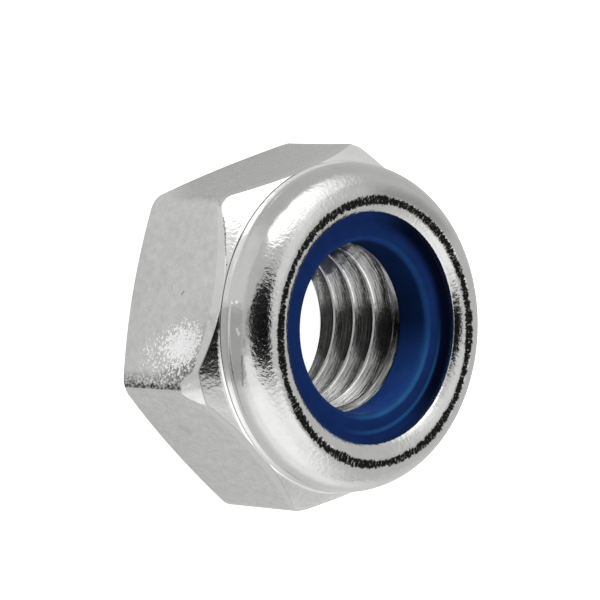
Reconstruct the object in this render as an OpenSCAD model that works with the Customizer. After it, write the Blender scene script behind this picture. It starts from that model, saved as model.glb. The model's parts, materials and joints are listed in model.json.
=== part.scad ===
// Nylon insert lock nut: a cold-formed steel nut whose collar holds a nylon ring under a rolled-in lip.
// The nut stands on its bearing face, and Z runs up the thread's axis, towards the ring.
// Sizes are in millimetres, and angles are in degrees.

/* [Thread] */
// Nominal diameter of the thread
thread_d = 10; // [9.8:0.1:10.4]
// Pitch of the thread
thread_pitch = 1.5; // [1.25:0.25:1.75]
// Height of the tapped steel, which is also where the ring is seated
thread_h = 6.75; // [6.4:0.05:7]
// How far the mouth of the lead-in stands outside the thread
lead_in_margin = 0.1; // [0.05:0.05:0.3]
// Bevel at the upper end of the tapped bore, under the ring
seat_bevel = 0.25; // [0.1:0.05:0.4]

/* [Hexagon] */
// Width across the flats, the size of the spanner
across_flats = 17; // [16.8:0.1:18]
// Radius on the six upright corners
corner_r = 1.1; // [0.8:0.1:1.4]
// Height at which the collar leaves the hexagon
hex_h = 7; // [6.8:0.05:7.1]
// Slope of the chamfer at the collar end, in degrees from level
collar_chamfer = 45; // [30:1:50]
// Slope of the chamfer at the bearing end, in degrees from level
bearing_chamfer = 19; // [12:1:30]
// Height of the bearing chamfer in the middle of each flat
bearing_chamfer_h = 0.2; // [0.1:0.05:0.4]

/* [Collar] */
// Overall height of the nut, up to the crest of the rolled lip
nut_h = 9.65; // [9.5:0.05:9.8]
// How far the collar's wall stands inside the flats
collar_setback = 0.05; // [0.04:0.01:0.3]
// Radius of the shoulder above the collar's wall
shoulder_r = 2.25; // [2.15:0.05:2.4]
// Height at which the shoulder starts to turn in
shoulder_z = 7.57; // [7.5:0.01:7.65]
// Radius of the rolled bead at the collar's crest
bead_r = 1.2; // [1.1:0.05:1.3]
// Radius of the fine groove at the collar's foot
groove_r = 0.25; // [0.2:0.01:0.25]
// Depth of that groove
groove_depth = 0.07; // [0.04:0.01:0.12]
// Height of that groove's middle above the hexagon
groove_rise = 0.2; // [0.15:0.01:0.25]

/* [Rolled lip] */
// Thickness of the collar's wall beside the ring
wall_t = 1.1; // [0.9:0.05:1.3]
// Radius inside the roll, where the wall turns in over the ring
roll_r = 1; // [0.8:0.05:1.1]
// Thickness of the lip over the ring, below the crest
lip_t = 0.75; // [0.65:0.05:0.85]
// Radius of the round opening that the lip leaves
lip_opening_r = 5.88; // [5.7:0.02:6]

/* [Ring] */
// Radius of the ring's bore before a bolt has cut into it
ring_bore_r = 4.4; // [4.3:0.05:4.6]
// Radius on the rim of the ring's bore
ring_rim_r = 0.4; // [0.2:0.05:0.5]
// How far the ring's open face lies below the lip's underside
ring_sink = 0.15; // [0.1:0.05:0.25]
// How far the middle of that face is dished
dish_depth = 0.04; // [0.02:0.01:0.08]

/* [Hidden] */
$fn = 128;

// Cuts pass their faces by this much, the turned blank clears the hexagon's corners by its margin, and a
// corner's arc is drawn in steps of this angle.
over = 1;
blank_margin = 0.2;
corner_step = 10;

// The tapping bore of a metric thread is its diameter less 1.0825 pitches.
minor_r = (thread_d - 1.0825 * thread_pitch) / 2;
lead_in_r = thread_d / 2 + lead_in_margin;

flat_r = across_flats / 2;
corner_centre_r = flat_r - corner_r;
corner_reach = corner_centre_r / cos(30) + corner_r;
blank_r = corner_reach + blank_margin;
bearing_r = flat_r - bearing_chamfer_h / tan(bearing_chamfer);
bearing_edge_z = (blank_r - bearing_r) * tan(bearing_chamfer);

collar_r = flat_r - collar_setback;
chamfer_edge_z = hex_h - (blank_r - collar_r) * tan(collar_chamfer);
groove_z = hex_h + groove_rise;

// The shoulder and the bead are two arcs, and the bead's crest is the nut's top. They would just touch where
// the shoulder has made its turn, so the bead stands a hair proud there, and the arcs cross in a clean edge.
bead_proud = 0.01;
arc_gap = shoulder_r - bead_r;
bead_z = nut_h - bead_r;
shoulder_turn = asin((bead_z - shoulder_z) / arc_gap);
shoulder_centre = [collar_r - shoulder_r, shoulder_z];
bead_centre = [shoulder_centre[0] + arc_gap * cos(shoulder_turn) + bead_proud, bead_z];

recess_r = collar_r - wall_t;
roof_z = nut_h - lip_t;
roll_centre = [recess_r - roll_r, roof_z - roll_r];

// The ring's face runs level round its rim, falls to the dish, and rises again to the edge of the lip.
ring_face_z = roof_z - ring_sink;
rim_centre = [ring_bore_r + ring_rim_r, ring_face_z - ring_rim_r];
dish_r = (rim_centre[0] + 2 * lip_opening_r) / 3;

function along(angle, distance) = distance * [cos(angle), sin(angle)];

// Six flats with rounded corners. Each corner is an arc that turns 30 degrees to either side of its middle.
module hexagon_outline() {
    polygon([
        for (corner = [30:60:330])
            for (turn = [-30:corner_step:30])
                along(corner, corner_centre_r / cos(30)) + along(corner + turn, corner_r)
    ]);
}

// Half section of the blank, up to a slope that runs inside the shoulder and the bead.
module turned_section() {
    polygon([
        [0, 0],
        [bearing_r, 0],
        [blank_r, bearing_edge_z],
        [blank_r, chamfer_edge_z],
        [collar_r, hex_h],
        [collar_r, shoulder_z],
        bead_centre,
        [0, bead_z]
    ]);
}

// Half section of the shoulder, a sector of its arc.
module shoulder_section() {
    intersection() {
        translate(shoulder_centre)
            circle(r = shoulder_r);
        polygon([
            shoulder_centre,
            shoulder_centre + [2 * shoulder_r, 0],
            shoulder_centre + along(shoulder_turn, 2 * shoulder_r)
        ]);
    }
}

// Half section of the bead. The inner part of its round falls in the space inside the collar.
module bead_section() {
    translate(bead_centre)
        circle(r = bead_r);
}

// Half section of the space that holds the ring, with the inside of the roll as its upper corner.
module recess_section() {
    translate([0, thread_h])
        square([recess_r, roll_centre[1] - thread_h]);
    translate([0, thread_h])
        square([roll_centre[0], roof_z - thread_h]);
    translate(roll_centre)
        circle(r = roll_r);
}

// Half section of everything that is open inside the steel: recess, mouth of the lip, bore and bevels.
module inside_section() {
    recess_section();
    translate([0, roof_z - over])
        square([lip_opening_r, nut_h - roof_z + 2 * over]);
    polygon([
        [0, -over],
        [lead_in_r + over, -over],
        [minor_r, lead_in_r - minor_r],
        [minor_r, thread_h - seat_bevel],
        [minor_r + seat_bevel + over, thread_h + over],
        [0, thread_h + over]
    ]);
}

module nut_body() {
    color([0.78, 0.78, 0.77])
        intersection() {
            rotate_extrude()
                difference() {
                    union() {
                        turned_section();
                        shoulder_section();
                        bead_section();
                    }
                    inside_section();
                    translate([collar_r - groove_depth + groove_r, groove_z])
                        circle(r = groove_r);
                }
            translate([0, 0, -over])
                linear_extrude(height = nut_h + 2 * over)
                    hexagon_outline();
        }
}

// The ring fills its recess. Its open face is a little dished, and its rim is round.
module nylon_insert() {
    color([0.08, 0.15, 0.42])
        rotate_extrude()
            difference() {
                recess_section();
                translate([0, thread_h - over])
                    square([ring_bore_r, nut_h]);
                polygon([
                    [0, ring_face_z],
                    [rim_centre[0], ring_face_z],
                    [dish_r, ring_face_z - dish_depth],
                    [lip_opening_r, roof_z],
                    [lip_opening_r, nut_h],
                    [0, nut_h]
                ]);
                difference() {
                    translate([0, rim_centre[1]])
                        square([rim_centre[0], ring_rim_r + over]);
                    translate(rim_centre)
                        circle(r = ring_rim_r);
                }
            }
}

nut_body();
nylon_insert();
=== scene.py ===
"""Looks of a nylon insert lock nut: a zinc plated steel nut with a blue nylon ring under its rolled-in lip.

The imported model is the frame. Both pieces are made again in its place, in metres and inside its box, with
what the plain solids leave out: the cut thread, the rolled-over edge of the flats, the rough ring on the
crest of the lip and the fine edges. The nut stands on its bearing face, with Z up its axis.
"""
import json
import math

import bpy
from mathutils import Matrix, Vector


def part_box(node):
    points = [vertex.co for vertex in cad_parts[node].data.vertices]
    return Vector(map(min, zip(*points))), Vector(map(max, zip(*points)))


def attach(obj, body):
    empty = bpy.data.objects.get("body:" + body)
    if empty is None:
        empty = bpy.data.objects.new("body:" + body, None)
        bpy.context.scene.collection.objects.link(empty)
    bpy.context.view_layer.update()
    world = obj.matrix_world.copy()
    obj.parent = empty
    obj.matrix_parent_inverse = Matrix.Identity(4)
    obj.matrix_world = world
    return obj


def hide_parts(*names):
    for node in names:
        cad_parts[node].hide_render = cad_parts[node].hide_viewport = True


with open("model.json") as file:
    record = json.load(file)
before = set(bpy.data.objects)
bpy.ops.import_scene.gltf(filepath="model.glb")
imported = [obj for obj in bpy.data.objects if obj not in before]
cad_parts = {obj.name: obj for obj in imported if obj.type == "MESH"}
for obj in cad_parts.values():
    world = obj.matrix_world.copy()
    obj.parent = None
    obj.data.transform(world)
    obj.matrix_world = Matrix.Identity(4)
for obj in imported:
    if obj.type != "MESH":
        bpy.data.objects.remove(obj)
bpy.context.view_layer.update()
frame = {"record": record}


# Nut body: one piece of cold-formed steel, bright zinc plated. The hexagon is pressed, which leaves a soft
# rolled-over band along the upper edge of each flat. The collar is turned, and its rim is rolled in over
# the ring, which tears a thin rough ring into the crest. The thread is cut last.
MM = 0.001
FULL_TURN = 2 * math.pi
SIXTH = math.radians(60)

# Lengths are in metres, but the foot's profile and the torn ring's place and width are in millimetres.
# Angles on an arc of the section and fades are in degrees, and the other angles are in radians.
nut_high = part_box("nut_body")[1]
ring_low, ring_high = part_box("nylon_insert")
mounts = {mount["name"]: mount for mount in frame["record"]["mounts"]}

flat_r = nut_high.x
corner_reach = nut_high.y
corner_r = 1.1 * MM
bearing_r = flat_r - 0.58 * MM
bearing_slope = math.tan(math.radians(19))
hex_top = 7.0 * MM
sag = 0.08 * MM
band_middle = 0.65 * MM
band_loss = 0.31
facet_start = 9.35 * MM
facet_slope = math.radians(17)
facet_corner = math.radians(150)
sharp_corner = math.radians(30)
sharpness = 0.85
corner_fade = (20, 14)
chamfer_bulge = 0.12 / MM

collar_r = flat_r - 0.05 * MM
foot_r = 8.52 * MM
foot_drop = 0.05 * MM
foot_fade = 0.3 * MM
foot_profile = [(8.45, 7.01), (8.424, 7.06), (8.41, 7.075), (8.41, 7.1), (8.45, 7.12), (8.476, 7.14),
                (8.48, 7.17), (8.474, 7.21), (8.45, 7.28), (8.43, 7.35), (8.415, 7.42), (8.404, 7.49),
                (8.4, 7.56), (8.405, 7.64), (8.422, 7.72)]
ridge_middle = math.radians(80)
ridge_fade = (40, 25)
ridge_crest = (8.49 * MM, 7.17 * MM)
ridge_fall = 0.577
ridge_foot_r = 8.39 * MM
ridge_zone_r = (8.2 * MM, 8.3 * MM)
ridge_start_z = 7.14 * MM
ridge_end_z = (7.42 * MM, 7.6 * MM)
shoulder_r = 2.25 * MM
shoulder_z = 7.57 * MM
shoulder_start = 5.5
shoulder_end = 52.2
bead_r = 1.2 * MM
bead_centre = (6.783 * MM, nut_high.z - bead_r)
bead_start = 48.5
arc_gap = 3
torn_centre = (-0.171, -0.102)
torn_r = 6.693
torn_half_width = 0.2
torn_depth = 0.05 * MM
torn_span = (74, 113)
tears_per_metre = 3000.0
lip_opening_r = 5.88 * MM
lip_edge_r = 0.15 * MM
lip_edge_gap = 8

recess_r = ring_high.x
recess_floor = ring_low.z
recess_roof = ring_high.z
roll_r = 1.0 * MM

pitch = 1.5 * MM
minor_r = mounts["thread"]["dims"]["r_mm"] * MM
lead_in_r = 5.1 * MM
seat_bevel = 0.25 * MM
flank_angle = math.radians(30)
depth_share = 0.625
crest_turn = 0.475
crest_half_land = 0.09 * MM
crest_rounding = 0.05 * MM
root_rounding = 0.1 * MM

columns = 360
corner_crowding = 0.75
rows_per_pitch = 20
thread_turns = 7
turns_below = 2
weld_distance = 1e-6

TURNED, BEARING_CHAMFER, FLAT, BAND, COLLAR_CHAMFER, THREAD_END = range(6)


def arc(centre, radius, angles):
    """Points (r, z) on an arc, at the given angles in degrees."""
    return [(centre[0] + radius * math.cos(math.radians(a)), centre[1] + radius * math.sin(math.radians(a)))
            for a in angles]


def steps(start, end, count):
    """Evenly spaced values from start to end, both ends kept."""
    return [start + (end - start) * i / count for i in range(count + 1)]


# The section runs from the mouth of the bore out over the bearing face, up the hexagon and the collar, over
# the lip and down into the recess. A row is (zone, share of the zone, r, z, bite of the rolling tool).
def turned_rows(points, bite=0.0):
    return [(TURNED, 0.0, r, z, bite) for r, z in points]


def hexagon_rows(zone, shares):
    return [(zone, share, 0.0, 0.0, 0.0) for share in shares]


lip_edge_centre_r = lip_opening_r + lip_edge_r
lip_edge_rise = math.sqrt((bead_r - lip_edge_r) ** 2 - (bead_centre[0] - lip_edge_centre_r) ** 2)
lip_edge_centre = (lip_edge_centre_r, bead_centre[1] + lip_edge_rise)
bead_end = math.degrees(math.atan2(lip_edge_rise, lip_edge_centre_r - bead_centre[0]))

bearing_face_r = [lead_in_r, lead_in_r + 0.02 * MM, 6 * MM, 7 * MM, bearing_r - 0.05 * MM, bearing_r]
shoulder_centre = (collar_r - shoulder_r, shoulder_z)
roll_centre = (recess_r - roll_r, recess_roof - roll_r)
roll = arc(roll_centre, roll_r, steps(90, 0, 8))

rows = turned_rows([(r, 0) for r in bearing_face_r])
rows += hexagon_rows(BEARING_CHAMFER, [0.05, 0.5, 0.95, 1])
rows += hexagon_rows(FLAT, [0.01, 0.05, 0.2, 0.35, 0.5, 0.65, 0.8, 0.95, 0.997])
rows += hexagon_rows(BAND, [0.03, 0.1, 0.5, 0.9, 0.97, 1])
rows += hexagon_rows(COLLAR_CHAMFER, [0.02, 0.1, 0.25, 0.5, 0.75, 0.9, 0.98])
rows += turned_rows([(r * MM, z * MM) for r, z in foot_profile])
rows += turned_rows(arc(shoulder_centre, shoulder_r, steps(shoulder_start, shoulder_end, 20)))
rows += turned_rows(arc(bead_centre, bead_r, steps(bead_start + arc_gap, torn_span[0] - arc_gap, 7)))
rows += turned_rows(arc(bead_centre, bead_r, steps(*torn_span, 17)), 1.0)
rows += turned_rows(arc(bead_centre, bead_r, steps(torn_span[1] + arc_gap, bead_end, 8)))
rows += turned_rows(arc(lip_edge_centre, lip_edge_r, steps(bead_end + lip_edge_gap, 180, 5)))
rows += turned_rows([(lip_opening_r, recess_roof), (lip_opening_r + 0.1 * MM, recess_roof)])
rows += turned_rows(roll)
rows += turned_rows([(recess_r, recess_floor), (recess_r - 1 * MM, recess_floor)])
rows += hexagon_rows(THREAD_END, [1])


class Field:
    """A number that varies over a node tree. Arithmetic on it adds Math nodes to the tree."""

    def __init__(self, tree, socket):
        self.tree = tree
        self.socket = socket

    def math(self, operation, *others):
        node = self.tree.nodes.new("ShaderNodeMath")
        node.operation = operation
        for place, value in zip(node.inputs, (self,) + others):
            plug(self.tree, value, place)
        return Field(self.tree, node.outputs[0])

    def __add__(self, other):
        return self.math("ADD", other)

    def __sub__(self, other):
        return self.math("SUBTRACT", other)

    def __rsub__(self, other):
        return self.math("MULTIPLY_ADD", -1.0, other)

    def __mul__(self, other):
        return self.math("MULTIPLY", other)

    def __truediv__(self, other):
        return self.math("DIVIDE", other)

    __radd__ = __add__
    __rmul__ = __mul__

    def choose(self, yes, no):
        """yes where this mask is 1, and no where it is 0."""
        return (yes - no) * self + no

    def ramp(self, low, high, out_low=0.0, out_high=1.0):
        """Turns low..high smoothly into out_low..out_high, and holds the ends."""
        node = self.tree.nodes.new("ShaderNodeMapRange")
        node.interpolation_type = "SMOOTHSTEP"
        for place, value in zip(node.inputs, (self, low, high, out_low, out_high)):
            plug(self.tree, value, place)
        return Field(self.tree, node.outputs[0])


def plug(tree, value, place):
    """Links a field or a socket to an input, or writes a plain value on it."""
    if isinstance(value, Field):
        tree.links.new(value.socket, place)
    elif isinstance(value, bpy.types.NodeSocket):
        tree.links.new(value, place)
    else:
        place.default_value = value


def add(tree, kind, settings=None, **inputs):
    """Adds a node. Inputs are named as Blender names them, in lower case and with _ for a space."""
    node = tree.nodes.new(kind)
    for name, value in (settings or {}).items():
        setattr(node, name, value)
    for name, value in inputs.items():
        place = next(s for s in node.inputs if s.enabled and s.name.lower().replace(" ", "_") == name)
        plug(tree, value, place)
    return node


def field(node, output=0):
    """The node's output as a field. Outputs are found by number or by name."""
    return Field(node.id_data, node.outputs[output])


def from_flat_middle(angle):
    """Angle from the middle of the nearest flat."""
    return (angle + SIXTH / 2).math("FLOORED_MODULO", SIXTH) - SIXTH / 2


def flat_reach(from_middle):
    """Distance from the axis to a flat, at an angle from the flat's middle."""
    return from_middle.math("COSINE").math("POWER", -1.0) * flat_r


def hexagon_reach(angle):
    """Distance from the axis to the hexagon's outline, flats and rounded corners, at an angle."""
    corner_centre = corner_reach - corner_r
    flat_end = math.atan(corner_centre * math.sin(SIXTH / 2) / flat_r)
    from_middle = from_flat_middle(angle).math("ABSOLUTE")
    from_corner = SIXTH / 2 - from_middle
    on_flat = flat_reach(from_middle)
    aside = from_corner.math("SINE") * corner_centre
    on_corner = from_corner.math("COSINE") * corner_centre + (corner_r ** 2 - aside * aside).math("SQRT")
    return from_middle.math("GREATER_THAN", flat_end).choose(on_corner, on_flat)


def near_angle(angle, middle, fade):
    """1 near an angle, and 0 away from it. A fade is (gone from, full within), in degrees off the angle."""
    gone, full = (math.cos(math.radians(a)) for a in fade)
    return (angle - middle).math("COSINE").ramp(gone, full)


def corner_mask(angle, corner):
    """1 round one corner of the hexagon, and 0 at the others."""
    return near_angle(angle, corner, corner_fade)


def thread_reach(z, angle):
    """Distance from the axis to the cut thread, with the lead-in and the bevel under the ring."""
    depth = depth_share * pitch * math.cos(flank_angle)
    turns = z / pitch - angle / FULL_TURN - crest_turn
    from_crest = ((turns + 0.5).math("FRACT") - 0.5).math("ABSOLUTE") * pitch
    rise = (from_crest - crest_half_land) / math.tan(flank_angle)
    rise = rise.math("SMOOTH_MAX", 0.0, crest_rounding).math("SMOOTH_MIN", depth, root_rounding)
    bored = (rise + minor_r).math("MAXIMUM", lead_in_r - z)
    return bored.math("MAXIMUM", z + (minor_r + seat_bevel - recess_floor))


def column_angle(column):
    """Angle of a column of the mesh. The columns crowd together at the hexagon's six corners."""
    even = column * (FULL_TURN / columns)
    return even - (even * 6 - math.pi).math("SINE") * (corner_crowding / 6)


def place_round(tree, mesh, reach, z, angle):
    """Puts the mesh's points at a distance from the axis, a height and an angle."""
    x, y = reach * angle.math("COSINE"), reach * angle.math("SINE")
    at = add(tree, "ShaderNodeCombineXYZ", x=x, y=y, z=z)
    return add(tree, "GeometryNodeSetPosition", geometry=mesh, position=at.outputs[0]).outputs[0]


def grid(tree, across, along):
    """A flat grid to be bent round the axis, and the number of the column and of the row at each point."""
    made = add(tree, "GeometryNodeMeshGrid", vertices_x=across, vertices_y=along)
    index = field(add(tree, "GeometryNodeInputIndex"))
    column = ((index + 0.5) / along).math("FLOOR")
    return made.outputs[0], column, index - column * along


def section_values(tree, source, row):
    """What the section's points hold at a row: zone, share, r, z and bite."""
    def at_row(kind, value):
        settings = {"data_type": kind}
        return add(tree, "GeometryNodeSampleIndex", settings, geometry=source, value=value, index=row)

    where = add(tree, "GeometryNodeInputPosition").outputs[0]
    parts = add(tree, "ShaderNodeSeparateXYZ", vector=at_row("FLOAT_VECTOR", where).outputs[0])
    values = {"r": field(parts, 0), "z": field(parts, 2)}
    for name in ("zone", "share", "bite"):
        held = add(tree, "GeometryNodeInputNamedAttribute", {"data_type": "FLOAT"}, name=name).outputs[0]
        values[name] = field(at_row("FLOAT", held))
    return values


def new_geometry_tree(name, sizes):
    """A tree with a geometry input and output and one named float input for each size."""
    tree = bpy.data.node_groups.new(name, "GeometryNodeTree")
    tree.interface.new_socket("Geometry", in_out="INPUT", socket_type="NodeSocketGeometry")
    tree.interface.new_socket("Geometry", in_out="OUTPUT", socket_type="NodeSocketGeometry")
    for size, value in sizes.items():
        made = tree.interface.new_socket(size, in_out="INPUT", socket_type="NodeSocketFloat")
        made.default_value = value
    return tree, tree.nodes.new("NodeGroupInput"), tree.nodes.new("NodeGroupOutput")


def noise(tree, vector, scale, detail, roughness, w=None):
    """Noise around 0.5 at a scale. Given w, it is noise in four dimensions."""
    settings = {"noise_dimensions": "3D" if w is None else "4D"}
    node = add(tree, "ShaderNodeTexNoise", settings, vector=vector, scale=scale, detail=detail,
               roughness=roughness)
    if w is not None:
        plug(tree, w, node.inputs["W"])
    return field(node)


def finish_surface(tree, mesh, material, sharp_angle):
    """Welds the seams, sets smooth shading with sharp edges, and gives the material."""
    welded = add(tree, "GeometryNodeMergeByDistance", geometry=mesh, distance=weld_distance).outputs[0]
    smooth = add(tree, "GeometryNodeSetShadeSmooth", {"domain": "FACE"}, geometry=welded, shade_smooth=True)
    bend = field(add(tree, "GeometryNodeInputMeshEdgeAngle"))
    sharp = bend.math("GREATER_THAN", math.radians(sharp_angle))
    edged = add(tree, "GeometryNodeSetShadeSmooth", {"domain": "EDGE"}, geometry=smooth.outputs[0],
                selection=sharp, shade_smooth=False)
    real = add(tree, "GeometryNodeRealizeInstances", geometry=edged.outputs[0])
    return add(tree, "GeometryNodeSetMaterial", geometry=real.outputs[0], material=material).outputs[0]


def section_object(name, section):
    """A chain of points that carries the section's rows."""
    mesh = bpy.data.meshes.new(name)
    points = [(r, 0, z) for _, _, r, z, _ in section]
    mesh.from_pydata(points, [(i, i + 1) for i in range(len(points) - 1)], [])
    for place, title in ((0, "zone"), (1, "share"), (4, "bite")):
        held = mesh.attributes.new(title, "FLOAT", "POINT")
        held.data.foreach_set("value", [float(row[place]) for row in section])
    made = bpy.data.objects.new(name, mesh)
    bpy.context.scene.collection.objects.link(made)
    return made


def bake_tree(holder, tree, name):
    """Evaluates the tree on its holder and keeps the result as a plain mesh object."""
    modifier = holder.modifiers.new(tree.name, "NODES")
    modifier.node_group = tree
    for item in tree.interface.items_tree:
        if item.in_out == "INPUT" and item.socket_type == "NodeSocketFloat":
            modifier[item.identifier] = item.default_value
    graph = bpy.context.evaluated_depsgraph_get()
    mesh = bpy.data.meshes.new_from_object(holder.evaluated_get(graph), depsgraph=graph)
    mesh.name = name
    made = bpy.data.objects.new(name, mesh)
    bpy.context.scene.collection.objects.link(made)
    bpy.data.objects.remove(holder)
    return made


# Effects that the materials use, as node groups: the place on the part, an uneven tone, a fine grain and a
# mark. Lengths in the materials are millimetres.
def new_effect(name, inputs, outputs):
    """A shader node group with named sockets. Inputs are (name, default), and outputs are (name, kind)."""
    tree = bpy.data.node_groups.new(name, "ShaderNodeTree")
    for title, value in inputs:
        kind = "NodeSocketVector" if value is None else "NodeSocketFloat"
        made = tree.interface.new_socket(title, in_out="INPUT", socket_type=kind)
        if value is not None:
            made.default_value = value
    for title, kind in outputs:
        tree.interface.new_socket(title, in_out="OUTPUT", socket_type=kind)
    return tree, tree.nodes.new("NodeGroupInput"), tree.nodes.new("NodeGroupOutput")


def use_effect(tree, effect, **inputs):
    """Puts a node group into a tree. Inputs are named as in add()."""
    node = tree.nodes.new("ShaderNodeGroup")
    node.node_tree = effect
    for name, value in inputs.items():
        plug(tree, value, next(s for s in node.inputs if s.name.lower().replace(" ", "_") == name))
    return node


place_effect, given, result = new_effect("place_on_part", [], [
    ("Place", "NodeSocketVector"), ("Radius", "NodeSocketFloat"), ("Height", "NodeSocketFloat")])
in_metres = add(place_effect, "ShaderNodeTexCoord").outputs["Object"]
in_mm = add(place_effect, "ShaderNodeVectorMath", {"operation": "SCALE"}, vector=in_metres, scale=1 / MM)
parts = add(place_effect, "ShaderNodeSeparateXYZ", vector=in_mm.outputs[0])
x, y, z = field(parts, 0), field(parts, 1), field(parts, 2)
plug(place_effect, in_mm.outputs[0], result.inputs["Place"])
plug(place_effect, (x * x + y * y).math("SQRT"), result.inputs["Radius"])
plug(place_effect, z, result.inputs["Height"])

tone_effect, given, result = new_effect("uneven_tone", [("Place", None), ("Per mm", 1.0), ("Spread", 0.05)],
                                        [("Tone", "NodeSocketFloat")])
cloud = noise(tone_effect, given.outputs["Place"], field(given, "Per mm"), 3, 0.55)
cloud_swing = 0.25
plug(tone_effect, 1 + (cloud - 0.5) * (1 / cloud_swing) * field(given, "Spread"), result.inputs["Tone"])

grain_effect, given, result = new_effect("fine_grain", [("Place", None), ("Per mm", 7.0), ("Depth", 0.01)],
                                         [("Height", "NodeSocketFloat")])
grain = noise(grain_effect, given.outputs["Place"], field(given, "Per mm"), 2, 0.5)
plug(grain_effect, (grain - 0.5) * field(given, "Depth"), result.inputs["Height"])

mark_effect, given, result = new_effect("mark", [
    ("Place", None), ("Middle", None), ("Along", None), ("Half length", 0.1), ("Half width", 0.1)],
    [("Mask", "NodeSocketFloat")])
ragged_per_mm = 9.0
raggedness = 2.4
away = add(mark_effect, "ShaderNodeVectorMath", {"operation": "SUBTRACT"})
mark_effect.links.new(given.outputs["Place"], away.inputs[0])
mark_effect.links.new(given.outputs["Middle"], away.inputs[1])
dot = add(mark_effect, "ShaderNodeVectorMath", {"operation": "DOT_PRODUCT"})
mark_effect.links.new(away.outputs[0], dot.inputs[0])
mark_effect.links.new(given.outputs["Along"], dot.inputs[1])
half_length = field(given, "Half length")
along = field(dot, "Value").math("MINIMUM", half_length).math("MAXIMUM", 0 - half_length)
nearest = add(mark_effect, "ShaderNodeVectorMath", {"operation": "SCALE"}, vector=given.outputs["Along"],
              scale=along)
gap = add(mark_effect, "ShaderNodeVectorMath", {"operation": "DISTANCE"})
mark_effect.links.new(away.outputs[0], gap.inputs[0])
mark_effect.links.new(nearest.outputs[0], gap.inputs[1])
ragged = noise(mark_effect, given.outputs["Place"], ragged_per_mm, 2, 0.6)
half_width = field(given, "Half width")
widths_away = field(gap, "Value") / half_width + (ragged - 0.5) * raggedness
plug(mark_effect, 1 - widths_away.ramp(0.7, 1.2), result.inputs["Mask"])


def mark(tree, place, start, end, half_width):
    """A mask that is 1 along a ragged stroke between two points, in millimetres."""
    start, end = Vector(start), Vector(end)
    half_length = (end - start).length / 2
    node = use_effect(tree, mark_effect, place=place, half_length=half_length, half_width=half_width)
    node.inputs["Middle"].default_value = (start + end) / 2
    node.inputs["Along"].default_value = (end - start).normalized()
    return field(node)


def facing(x, y, r, azimuth):
    """1 on the side of the part that lies at an azimuth in degrees, and -1 on the side across from it."""
    turn = math.radians(azimuth)
    return (x * math.cos(turn) + y * math.sin(turn)) / r


# Zinc: bright plate over pressed and turned steel. It is finely pitted on the chamfer and on the roll of
# the lip, smoother on the wall of the collar, and mottled on the flats. The tapped thread is bare of grain,
# streaked along its turns and worn bright on its crests, and it carries painted light and shade as well.
zinc_colour = (0.61, 0.61, 0.6)
band_foot = (collar_r + hex_top + sag - band_middle - band_loss * flat_r) / MM
facet_r = (facet_start - sag) / MM
facet_z = (collar_r + hex_top) / MM - facet_r
facet_fall = math.tan(facet_slope)

zinc = bpy.data.materials.new("bright_zinc_plate")
zinc.use_nodes = True
zinc_tree = zinc.node_tree
zinc_tree.nodes.clear()
here = use_effect(zinc_tree, place_effect)
place = here.outputs["Place"]
r, z = field(here, "Radius"), field(here, "Height")
parts = add(zinc_tree, "ShaderNodeSeparateXYZ", vector=place)
x, y = field(parts, 0), field(parts, 1)

# Where on the nut: each mask is 1 in its zone and fades to 0 at the zone's edges.
inside = 1 - r.ramp(5.25, 5.35)
outside = r.ramp(8.38, 8.4)
cone_rise = z + r - (collar_r + hex_top) / MM
below_band = (1 - (z + r * (1 - band_loss) - band_foot).ramp(-0.03, 0.03)) * outside
facet_rise = r + (z - facet_z) * facet_fall - facet_r
at_corner = y.ramp(0, 1) * (1 - x.ramp(-7.5, -7.4)) * z.ramp(4.9, 5.0)
on_facet = (facet_rise + 0.03).ramp(-0.01, 0.01) * (1 - cone_rise.ramp(-0.08, -0.03)) * at_corner
on_chamfer = cone_rise.ramp(-0.08, -0.03) * (1 - z.ramp(6.9, 6.98)) * outside
on_band = (1 - below_band) * (1 - on_chamfer) * (1 - on_facet) * (1 - z.ramp(6.9, 7.0)) * outside
on_flat = below_band * (1 - on_facet)
on_roll = z.ramp(8.6, 9.2)
groove = (z + x.ramp(-4, 0) * 0.05).ramp(7.02, 7.04) * (1 - z.ramp(7.11, 7.13)) * outside
ridge = z.ramp(6.92, 6.98) * (1 - groove) * (1 - z.ramp(7.42, 7.47)) * outside
scuffed_flat = math.radians(120)
across = x * -math.sin(scuffed_flat) + y * math.cos(scuffed_flat)
outward = x * math.cos(scuffed_flat) + y * math.sin(scuffed_flat)
on_scuffed_flat = outward.ramp(8.3, 8.35) * on_flat

# The plate's colour is multiplied by a tone, which each zone lifts or takes down by its own share. Past the
# even mottle, these shares are painted light: a painted highlight on the corner facet, on one side of the
# ridge and on the band, most toward one end of the scuffed flat; painted shade in the groove; and a chamfer
# painted lighter on one side and darker on another.
blotches = field(use_effect(zinc_tree, tone_effect, place=place, per_mm=0.7, spread=0.04))
mottle = field(use_effect(zinc_tree, tone_effect, place=place, per_mm=2.6, spread=on_flat * 0.08 + 0.025))
# Painted highlight on one side of the ridge, and painted light and shade on the chamfer by its side.
ridge_highlight = y.ramp(-4, 2, 0.0, 0.6) * facing(x, y, r, 128).ramp(0.92, 0.98, 1.0, 0.2)
chamfer_light_and_shade = x.ramp(-8.2, -4, -0.2, 0.5) + y.ramp(-5, -2, 0.28, 0.0)
tone = blotches * mottle * (1 + on_band * 0.08 + on_facet * 0.55 + ridge * ridge_highlight - groove * 0.7)
# Painted highlight on the band toward one end of the scuffed flat.
tone = tone * (1 + on_band * outward.ramp(8.1, 8.2) * across.ramp(0.8, 2.6, 0.0, 0.5))
tone = tone * (1 + on_chamfer * chamfer_light_and_shade)


def from_spot(spot_across, spot_z, flattening):
    """Distance on the scuffed flat from the middle of an oval spot."""
    sideways, up = across - spot_across, z - spot_z
    return (sideways * sideways + up * up * flattening).math("SQRT")
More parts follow.
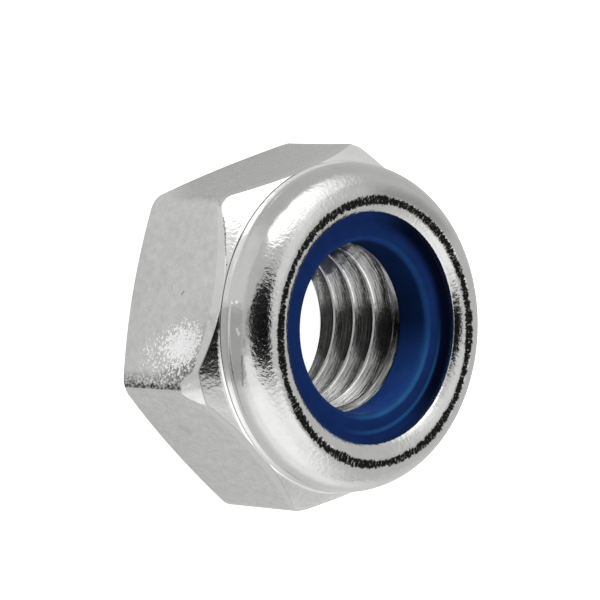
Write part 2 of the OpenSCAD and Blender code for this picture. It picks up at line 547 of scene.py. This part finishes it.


# One flat was scuffed: it has a patch of pits with painted glints on them, and a dull ragged edge beside
# the patch.
pits = noise(zinc_tree, place, 7.0, 3, 0.65)
edge_noise = noise(zinc_tree, place, 4.0, 4, 0.75)
core = 1 - from_spot(2.5, 4.9, 0.7).ramp(0.2, 1.7)
halo = 1 - from_spot(3.2, 3.9, 0.4).ramp(0.4, 2.3)
patch = (core * 0.8 + halo * 0.4) * on_scuffed_flat
# The pits in the patch are painted bright as glints.
pit_glints = (pits + patch * 0.24).ramp(0.61, 0.69) * patch.ramp(0.02, 0.3)
tone = tone * (1 + pit_glints * 0.75)
dull = (across + z.ramp(3.0, 5.0) * 0.9 + (pits - 0.5) * 1.6).ramp(3.8, 4.3) * on_scuffed_flat
tone = tone * (1 - dull * (1 - pit_glints) * pits.ramp(0.35, 0.6, 0.65, 0.05))
torn_edge = (across + (edge_noise - 0.5) * 0.8).ramp(4.6, 4.72) * on_scuffed_flat
tone = tone * (1 - torn_edge * pits.ramp(0.42, 0.62, 0.85, 0.3))

# Dark strokes and painted glints: where each stroke starts and ends, half its width, and the share of the
# tone it has. A share over 1 is a painted glint, and a share under 1 is a dark stroke.
marks = [
    ((-4.28, 7.35, 4.02), (-4.17, 7.41, 4.14), 0.05, 0.5),
    ((-8.5, 1.78, 2.65), (-8.5, 1.62, 2.85), 0.32, 0.9),
    ((-8.45, 3.2, 2.6), (-8.45, 3.15, 2.6), 0.05, 0.35),
    ((-4.52, 7.13, 7.77), (-4.55, 7.1, 7.8), 0.07, 1.6),
    ((-4.48, 7.1, 8.07), (-4.5, 7.08, 8.1), 0.07, 1.6),
    ((-5.5, 6.26, 8.2), (-5.7, 6.1, 8.32), 0.08, 1.6),
    ((-7.0, 4.73, 7.67), (-7.0, 4.7, 7.75), 0.06, 0.4),
    ((-6.4, 5.25, 8.4), (-7.3, 4.08, 8.18), 0.06, 0.6),
    ((-0.85, 9.24, 6.17), (-1.56, 8.83, 6.48), 0.05, 0.4),
    ((-1.56, 8.83, 6.48), (-2.6, 8.28, 6.82), 0.05, 0.4),
    ((-0.05, 9.6, 5.55), (-0.3, 9.52, 5.75), 0.07, 0.65),
]
for start, end, half_width, tone_share in marks:
    tone = tone * (1 + mark(zinc_tree, place, start, end, half_width) * (tone_share - 1))

# The torn ring on the crest of the lip lies a little off the axis, and its edges are ragged.
tears_round = 50
tears_per_mm = 2.5
torn_raggedness = 0.35
off_x = x - torn_centre[0]
off_y = y - torn_centre[1]
off_ring = (off_x * off_x + off_y * off_y).math("SQRT") - torn_r + (edge_noise - 0.5) * torn_raggedness
brushed_at = add(zinc_tree, "ShaderNodeCombineXYZ", x=x / r * tears_round, y=y / r * tears_round,
                 z=r * tears_per_mm)
brushed = noise(zinc_tree, brushed_at.outputs[0], 1.0, 3, 0.6)
thinner = noise(zinc_tree, place, 0.45, 2, 0.5).ramp(0.35, 0.65, 0.04, -0.04)
from_ring = off_ring.math("ABSOLUTE") + thinner + (brushed - 0.5) * torn_raggedness
in_ring = 1 - from_ring.ramp(torn_half_width - 0.03, torn_half_width + 0.05)
speck = noise(zinc_tree, brushed_at.outputs[0], 1.7, 2, 0.5).ramp(0.58, 0.7)
# The ring is painted near black, with grey specks in it.
torn_ring = in_ring * z.ramp(9.35, 9.45) * (1 - speck * 0.5)
# Painted shade beside the ring, on one side of the lip.
ring_side_shade = off_ring.ramp(0.1, 0.3) * (1 - off_ring.ramp(0.4, 1.0)) * facing(x, y, r, 20).ramp(0.85, 0.97)
tone = tone * (1 - ring_side_shade * 0.35) * (1 - torn_ring * 0.98)

# The tap left streaks that follow the thread. The last turns under the ring are painted darker, in patches,
# as shade, one side of the flanks is painted lighter, and the crests are worn bright and painted brighter
# still as a highlight.
streaks_round = 2.5
streaks_per_turn = 5
phase = (z / (pitch / MM) - y.math("ARCTAN2", x) / FULL_TURN) * FULL_TURN
helix_at = add(zinc_tree, "ShaderNodeCombineXYZ", x=x / r * streaks_round, y=y / r * streaks_round,
               z=phase.math("COSINE") * streaks_per_turn)
streaks = noise(zinc_tree, helix_at.outputs[0], 1.0, 3, 0.6, w=phase.math("SINE") * streaks_per_turn)
# The crests are worn, and painted brighter as a highlight.
crest = (1 - r.ramp(4.215, 4.27)) * (1 - z.ramp(5.9, 6.1))
last_turns = noise(zinc_tree, helix_at.outputs[0], 1.0, 2, 0.5, w=z * 9).ramp(0.45, 0.62)
# Painted shade on the last turns under the ring, in patches, and painted light on one side of the flanks.
shade_by_ring = z.ramp(5.3, 6.0) * (1 - last_turns * 0.6)
thread_light_side = facing(x, y, r, 221).ramp(0.45, 1.0)
flank_tone = (streaks * 0.85 + 0.16) * (1 - shade_by_ring * 0.65) * (1 + thread_light_side * 0.7)
thread_tone = crest.choose(streaks * 0.4 + 1.15, flank_tone)
tone = inside.choose(thread_tone, tone)

colour = add(zinc_tree, "ShaderNodeVectorMath", {"operation": "SCALE"}, vector=zinc_colour, scale=tone)
rough = 0.16 + on_flat * 0.1 + torn_ring * 0.4 + (mottle - 1) * 0.5 - inside * 0.02
grain_depth = on_roll * 0.018 + on_chamfer * x.ramp(-8.2, -4, 0.008, 0.016) + on_flat * 0.006 + 0.004
grain_depth = grain_depth * (1 - inside)
grain = field(use_effect(zinc_tree, grain_effect, place=place, per_mm=5.5, depth=grain_depth))
waves = field(use_effect(zinc_tree, grain_effect, place=place, per_mm=1.4, depth=0.02))
height = grain + waves + (streaks - 0.5) * inside * 0.03
bump = add(zinc_tree, "ShaderNodeBump", strength=1.0, distance=MM, height=height)
plate = add(zinc_tree, "ShaderNodeBsdfPrincipled", base_color=colour.outputs[0], metallic=1.0,
            roughness=rough, normal=bump.outputs[0])
add(zinc_tree, "ShaderNodeOutputMaterial", surface=plate.outputs[0])

nut_tree, given, result = new_geometry_tree("formed_turned_and_tapped", {
    "Flat sag": sag,
    "Band width": band_middle,
    "Tear depth": torn_depth,
})
mesh, column, row = grid(nut_tree, columns + 1, len(rows))
at = section_values(nut_tree, given.outputs["Geometry"], row)
angle = column_angle(column)
reach = hexagon_reach(angle)

faceted = corner_mask(angle, facet_corner)
flat_sag = field(given, "Flat sag") + (reach - facet_start).math("MAXIMUM", 0.0) * faceted
edge_r = reach - flat_sag
edge_z = (collar_r + hex_top) - edge_r
sharp_reach = flat_reach(from_flat_middle(angle))
fill = (sharp_reach - reach) * corner_mask(angle, sharp_corner) * sharpness
low_reach = reach + fill
chamfer_z = (low_reach - bearing_r) * bearing_slope
band = field(given, "Band width") - (reach - flat_r) * band_loss
band = band.math("MAXIMUM", faceted * flat_sag / math.tan(facet_slope))
share = at["share"]

bearing_chamfer_r = bearing_r + share * (low_reach - bearing_r)
foot_at = edge_r.math("MINIMUM", foot_r)
run = edge_r - foot_at
collar_chamfer_r = edge_r - share * run
bulge = share * (1 - share) * run * run * chamfer_bulge
drop = share * run.ramp(0.0, foot_fade) * foot_drop
zone_r = {
    BEARING_CHAMFER: bearing_chamfer_r,
    FLAT: reach + fill * (1 - share),
    BAND: reach - share * flat_sag,
    COLLAR_CHAMFER: collar_chamfer_r,
}
zone_z = {
    BEARING_CHAMFER: (bearing_chamfer_r - bearing_r) * bearing_slope,
    FLAT: chamfer_z + share * (edge_z - band - chamfer_z),
    BAND: edge_z - band * (1 - share),
    COLLAR_CHAMFER: (collar_r + hex_top) - collar_chamfer_r + bulge - drop,
}
ring_x = angle.math("COSINE") * at["r"]
ring_y = angle.math("SINE") * at["r"]
off_x = ring_x - torn_centre[0] * MM
off_y = ring_y - torn_centre[1] * MM
off_ring = ((off_x * off_x + off_y * off_y).math("SQRT") - torn_r * MM).math("ABSOLUTE")
torn_at = add(nut_tree, "ShaderNodeCombineXYZ", x=ring_x, y=ring_y)
torn = noise(nut_tree, torn_at.outputs[0], tears_per_metre, 2, 0.6).ramp(0.3, 0.6, 0.2, 1.3)
torn = torn * (1 - off_ring.ramp(0.6 * torn_half_width * MM, 1.3 * torn_half_width * MM))
skin_r = at["r"]
skin_z = at["z"] - at["bite"] * field(given, "Tear depth") * torn

# On one side the ridge over the groove falls off steeply and straight, and elsewhere as the profile has it.
steep_r = (ridge_crest[0] - (skin_z - ridge_crest[1]) * ridge_fall).math("MAXIMUM", ridge_foot_r)
steep = skin_z.ramp(ridge_start_z, ridge_crest[1]) * (1 - skin_z.ramp(*ridge_end_z))
steep = steep * skin_r.ramp(*ridge_zone_r) * near_angle(angle, ridge_middle, ridge_fade)
skin_r = steep.choose(steep_r, skin_r)
for zone in zone_r:
    in_zone = at["zone"].math("COMPARE", float(zone), 0.5)
    skin_r = in_zone.choose(zone_r[zone], skin_r)
    skin_z = in_zone.choose(zone_z[zone], skin_z)
seat_z = at["z"] * 0 + recess_floor
at_seat = at["zone"].math("COMPARE", float(THREAD_END), 0.5)
skin_r = at_seat.choose(thread_reach(seat_z, angle), skin_r)
skin_z = at_seat.choose(seat_z, skin_z)
shell = place_round(nut_tree, mesh, skin_r, skin_z, angle)

thread_rows = thread_turns * rows_per_pitch + 1
mesh, column, row = grid(nut_tree, columns + 1, thread_rows)
angle = column_angle(column)
thread_z = (row / rows_per_pitch + (crest_turn - turns_below) + angle / FULL_TURN) * pitch
thread_z = thread_z.math("MAXIMUM", 0.0).math("MINIMUM", recess_floor)
bore = place_round(nut_tree, mesh, thread_reach(thread_z, angle), thread_z, angle)
bore = add(nut_tree, "GeometryNodeFlipFaces", mesh=bore).outputs[0]

joined = nut_tree.nodes.new("GeometryNodeJoinGeometry")
for part in (shell, bore):
    nut_tree.links.new(part, joined.inputs[0])
finished = finish_surface(nut_tree, joined.outputs[0], zinc, sharp_angle=25)
nut_tree.links.new(finished, result.inputs[0])

nut = bake_tree(section_object("nut_section", rows), nut_tree, "zinc_nut")
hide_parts("nut_body")
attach(nut, "root")


# Insert: a ring of blue nylon, moulded and pushed into the recess before the lip is rolled over it. Its
# bore is smaller than the thread, so a bolt has to press its way through, and its rim is round.
bore_r = mounts["ring_bore"]["dims"]["r_mm"] * MM
rim_r = 0.4 * MM
face_z = recess_roof - 0.15 * MM
dish_r = 5.52 * MM
dish_z = face_z - 0.04 * MM
nylon_colour = (0.0085, 0.0275, 0.124)
# The colour of the painted highlights on the rim and the dish.
nylon_highlight_tint = (0.01, 0.06, 0.13)

nylon = bpy.data.materials.new("blue_nylon")
nylon.use_nodes = True
nylon_tree = nylon.node_tree
nylon_tree.nodes.clear()
here = use_effect(nylon_tree, place_effect)
place = here.outputs["Place"]
cloud = field(use_effect(nylon_tree, tone_effect, place=place, per_mm=1.2, spread=0.14))
grain = field(use_effect(nylon_tree, grain_effect, place=place, per_mm=10.0, depth=0.01))
r = field(here, "Radius")
parts = add(nylon_tree, "ShaderNodeSeparateXYZ", vector=place)
x, y = field(parts, 0), field(parts, 1)
# Painted light and shade on the ring: the bore wall is painted lighter on one side and darker elsewhere,
# shade is painted toward the lip on one side, and bright arcs on the rim and the dish are painted
# highlights.
to_lip = facing(x, y, r, -45) * 0.495 + 0.5
rim = 1 - (r - 4.55).math("ABSOLUTE").ramp(0.02, 0.2)
outer_arc = 1 - (r - 5.35).math("ABSOLUTE").ramp(0.02, 0.18)
lower = facing(x, y, r, -100).ramp(0.5, 1.0)
wall = 1 - r.ramp(4.4, 4.46)
# Painted shade toward the lip, on one side.
lip_shade = r.ramp(4.95, 5.65) * facing(x, y, r, -35).ramp(0.2, 0.75)
tone = cloud * (1 - lip_shade * 0.88) * (1 + wall * (lower * 2.0 - 0.45))
# Painted highlights: arcs on the rim and the dish, brightest on one side.
arc_highlights = rim * (to_lip * 0.4 + lower * 1.2) * cloud + outer_arc * lower
dark = add(nylon_tree, "ShaderNodeVectorMath", {"operation": "SCALE"}, vector=nylon_colour, scale=tone)
painted_highlight = add(nylon_tree, "ShaderNodeVectorMath", {"operation": "SCALE"}, vector=nylon_highlight_tint, scale=arc_highlights)
colour = add(nylon_tree, "ShaderNodeVectorMath", {"operation": "ADD"})
nylon_tree.links.new(dark.outputs[0], colour.inputs[0])
nylon_tree.links.new(painted_highlight.outputs[0], colour.inputs[1])
bump = add(nylon_tree, "ShaderNodeBump", strength=1.0, distance=MM, height=grain)
rough = (cloud - 1) * 0.3 + 0.35
skin = add(nylon_tree, "ShaderNodeBsdfPrincipled", base_color=colour.outputs[0], roughness=rough,
           normal=bump.outputs[0], specular_ior_level=0.01)
add(nylon_tree, "ShaderNodeOutputMaterial", surface=skin.outputs[0])

# The section runs from the recess in under the ring, up its bore, over the rim and the dish, and out along
# the inside of the roll.
rim_centre = (bore_r + rim_r, face_z - rim_r)
dish = [(dish_r - 0.3 * MM, face_z - 0.02 * MM), (dish_r, dish_z), (5.7 * MM, dish_z + 0.03 * MM),
        (lip_opening_r, recess_roof - 0.02 * MM), (6 * MM, recess_roof)]
ring_rows = turned_rows([(recess_r, recess_floor), (6 * MM, recess_floor), (bore_r, recess_floor)])
ring_rows += turned_rows([(bore_r, recess_floor + 0.05 * MM)])
ring_rows += turned_rows(arc(rim_centre, rim_r, steps(180, 90, 10)) + dish + roll)
ring_rows += turned_rows([(recess_r, recess_floor)])

ring_tree, given, result = new_geometry_tree("turned_ring", {})
mesh, column, row = grid(ring_tree, columns + 1, len(ring_rows))
at = section_values(ring_tree, given.outputs["Geometry"], row)
body = place_round(ring_tree, mesh, at["r"], at["z"], column * (FULL_TURN / columns))
body = add(ring_tree, "GeometryNodeFlipFaces", mesh=body).outputs[0]
ring_tree.links.new(finish_surface(ring_tree, body, nylon, sharp_angle=40), result.inputs[0])

ring = bake_tree(section_object("ring_section", ring_rows), ring_tree, "nylon_ring")
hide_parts("nylon_insert")
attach(ring, "root")


# Floor: a pale sheet a hair under the bearing face, clear from below so that the face can be seen. In the
# steel it looks darker or lighter by the side it lies on, as the cards round the real nut did.
floor_half = 0.4
floor_z = -0.01 * MM
sheet_grey = 0.8
reflected_grey = 0.35
sheet_glow = 0.95
floor_mesh = bpy.data.meshes.new("floor")
corners = [(sx * floor_half, sy * floor_half, floor_z) for sx, sy in ((-1, -1), (1, -1), (1, 1), (-1, 1))]
floor_mesh.from_pydata(corners, [], [(0, 1, 2, 3)])
floor = bpy.data.objects.new("floor", floor_mesh)
bpy.context.scene.collection.objects.link(floor)
paper = bpy.data.materials.new("pale_paper")
paper.use_nodes = True
paper_tree = paper.node_tree
paper_tree.nodes.clear()
light_path = add(paper_tree, "ShaderNodeLightPath")
glossy_ray = field(light_path, "Is Glossy Ray")
here = use_effect(paper_tree, place_effect)
parts = add(paper_tree, "ShaderNodeSeparateXYZ", vector=here.outputs["Place"])
x, y, r = field(parts, 0), field(parts, 1), field(here, "Radius")

# How much of the sheet's glow the steel shows, by the degrees round the nut and the distance from it.
turned = y.math("ARCTAN2", x) / math.radians(1)
wall_side = turned.ramp(119, 123) * (1 - turned.ramp(158, 162)) * r.ramp(13, 15)
scuffed_side = turned.ramp(68, 88) * (1 - turned.ramp(147, 152))
next_side = turned.ramp(147, 152) + (1 - turned.ramp(-100, -60))
low_side = turned.ramp(160, 172) + (1 - turned.ramp(-125, -88))
shown = (0.36 + scuffed_side * 0.24 + next_side * 0.16) * (1 - wall_side * 0.6)
shown = shown + low_side * r.ramp(18, 42) * 0.4

camera_ray = field(light_path, "Is Camera Ray")
seen = camera_ray * sheet_glow + glossy_ray * shown
glow = add(paper_tree, "ShaderNodeEmission", color=(1, 1, 1, 1), strength=seen)
shade = add(paper_tree, "ShaderNodeCombineColor")
for channel in shade.inputs:
    plug(paper_tree, sheet_grey - glossy_ray * (sheet_grey - reflected_grey), channel)
matt = add(paper_tree, "ShaderNodeBsdfDiffuse", color=shade.outputs[0])
both = paper_tree.nodes.new("ShaderNodeAddShader")
paper_tree.links.new(glow.outputs[0], both.inputs[0])
paper_tree.links.new(matt.outputs[0], both.inputs[1])
back = field(add(paper_tree, "ShaderNodeNewGeometry"), "Backfacing")
sheet = add(paper_tree, "ShaderNodeMixShader", fac=back * camera_ray)
clear = add(paper_tree, "ShaderNodeBsdfTransparent")
paper_tree.links.new(both.outputs[0], sheet.inputs[1])
paper_tree.links.new(clear.outputs[0], sheet.inputs[2])
add(paper_tree, "ShaderNodeOutputMaterial", surface=sheet.outputs[0])
floor_mesh.materials.append(paper)


# Light: a soft studio all round, with bright cards and dark ones, which the steel shows as its lights and
# darks. A card is (azimuth, elevation, radius of its even part, radius of its faded edge, strength), with
# the angles in degrees.
world = bpy.data.worlds.new("studio")
bpy.context.scene.world = world
world.use_nodes = True
world_tree = world.node_tree
world_tree.nodes.clear()
toward = add(world_tree, "ShaderNodeTexCoord").outputs["Generated"]
base_light = 0.7
bright_cards = [(55, 16, 20, 24.5, 1.95), (42, 18, 10, 38, 1.6), (33, 44, 8, 22, 1.2),
                (-162, 8, 18, 65, 1.4), (168, 8, 16, 21, 1.22), (-135, 53, 12, 28, 1.32),
                (20, 66, 10, 35, 1.0)]
dark_cards = [(130, 45, 24, 28, 0.99), (140, 64, 14, 18, 0.92), (128, 15, 5, 10, 0.5), (141, 5, 2, 6, 0.5)]


def direction(azimuth, elevation):
    """The unit vector toward an azimuth and an elevation in degrees."""
    a, e = math.radians(azimuth), math.radians(elevation)
    return Vector((math.cos(a) * math.cos(e), math.sin(a) * math.cos(e), math.sin(e)))


def card(azimuth, elevation, inner, outer):
    """1 inside the card, falling to 0 at its edge."""
    dot = add(world_tree, "ShaderNodeVectorMath", {"operation": "DOT_PRODUCT"})
    plug(world_tree, toward, dot.inputs[0])
    dot.inputs[1].default_value = direction(azimuth, elevation)
    away = field(dot, "Value").math("ARCCOSINE")
    return 1 - away.ramp(math.radians(inner), math.radians(outer))


light = field(add(world_tree, "ShaderNodeValue"))
light.socket.default_value = base_light
for azimuth, elevation, inner, outer, strength in bright_cards:
    on_card = card(azimuth, elevation, inner, outer)
    light = light.math("MAXIMUM", base_light + on_card * (strength - base_light))
for azimuth, elevation, inner, outer, strength in dark_cards:
    light = light * (1 - card(azimuth, elevation, inner, outer) * strength)
camera_ray = field(add(world_tree, "ShaderNodeLightPath"), "Is Camera Ray")
white = light * 0 + 1.0
light = camera_ray.choose(white, light)
background = add(world_tree, "ShaderNodeBackground", color=(1, 1, 1, 1), strength=light)
add(world_tree, "ShaderNodeOutputWorld", surface=background.outputs[0])


# Camera: a long lens that looks down on the lip from the photograph's angle. It is rolled, so that the
# nut's axis lies across the picture.
camera_at = Vector((-67.672, 82.564, 117.779)) * MM
camera_right = Vector((0.4910214, -0.54055358, 0.68315432))
camera_up = Vector((0.7520165, 0.65886511, -0.01918205))
camera_back = camera_right.cross(camera_up)
camera_data = bpy.data.cameras.new("camera")
camera_data.lens = 180
camera_data.sensor_width = 36
camera_data.clip_start = 0.01
camera = bpy.data.objects.new("camera", camera_data)
bpy.context.scene.collection.objects.link(camera)
turn = Matrix((camera_right, camera_up, camera_back)).transposed()
camera.matrix_world = Matrix.Translation(camera_at) @ turn.to_4x4()
bpy.context.scene.camera = camera
bpy.context.scene.view_settings.view_transform = "Standard"
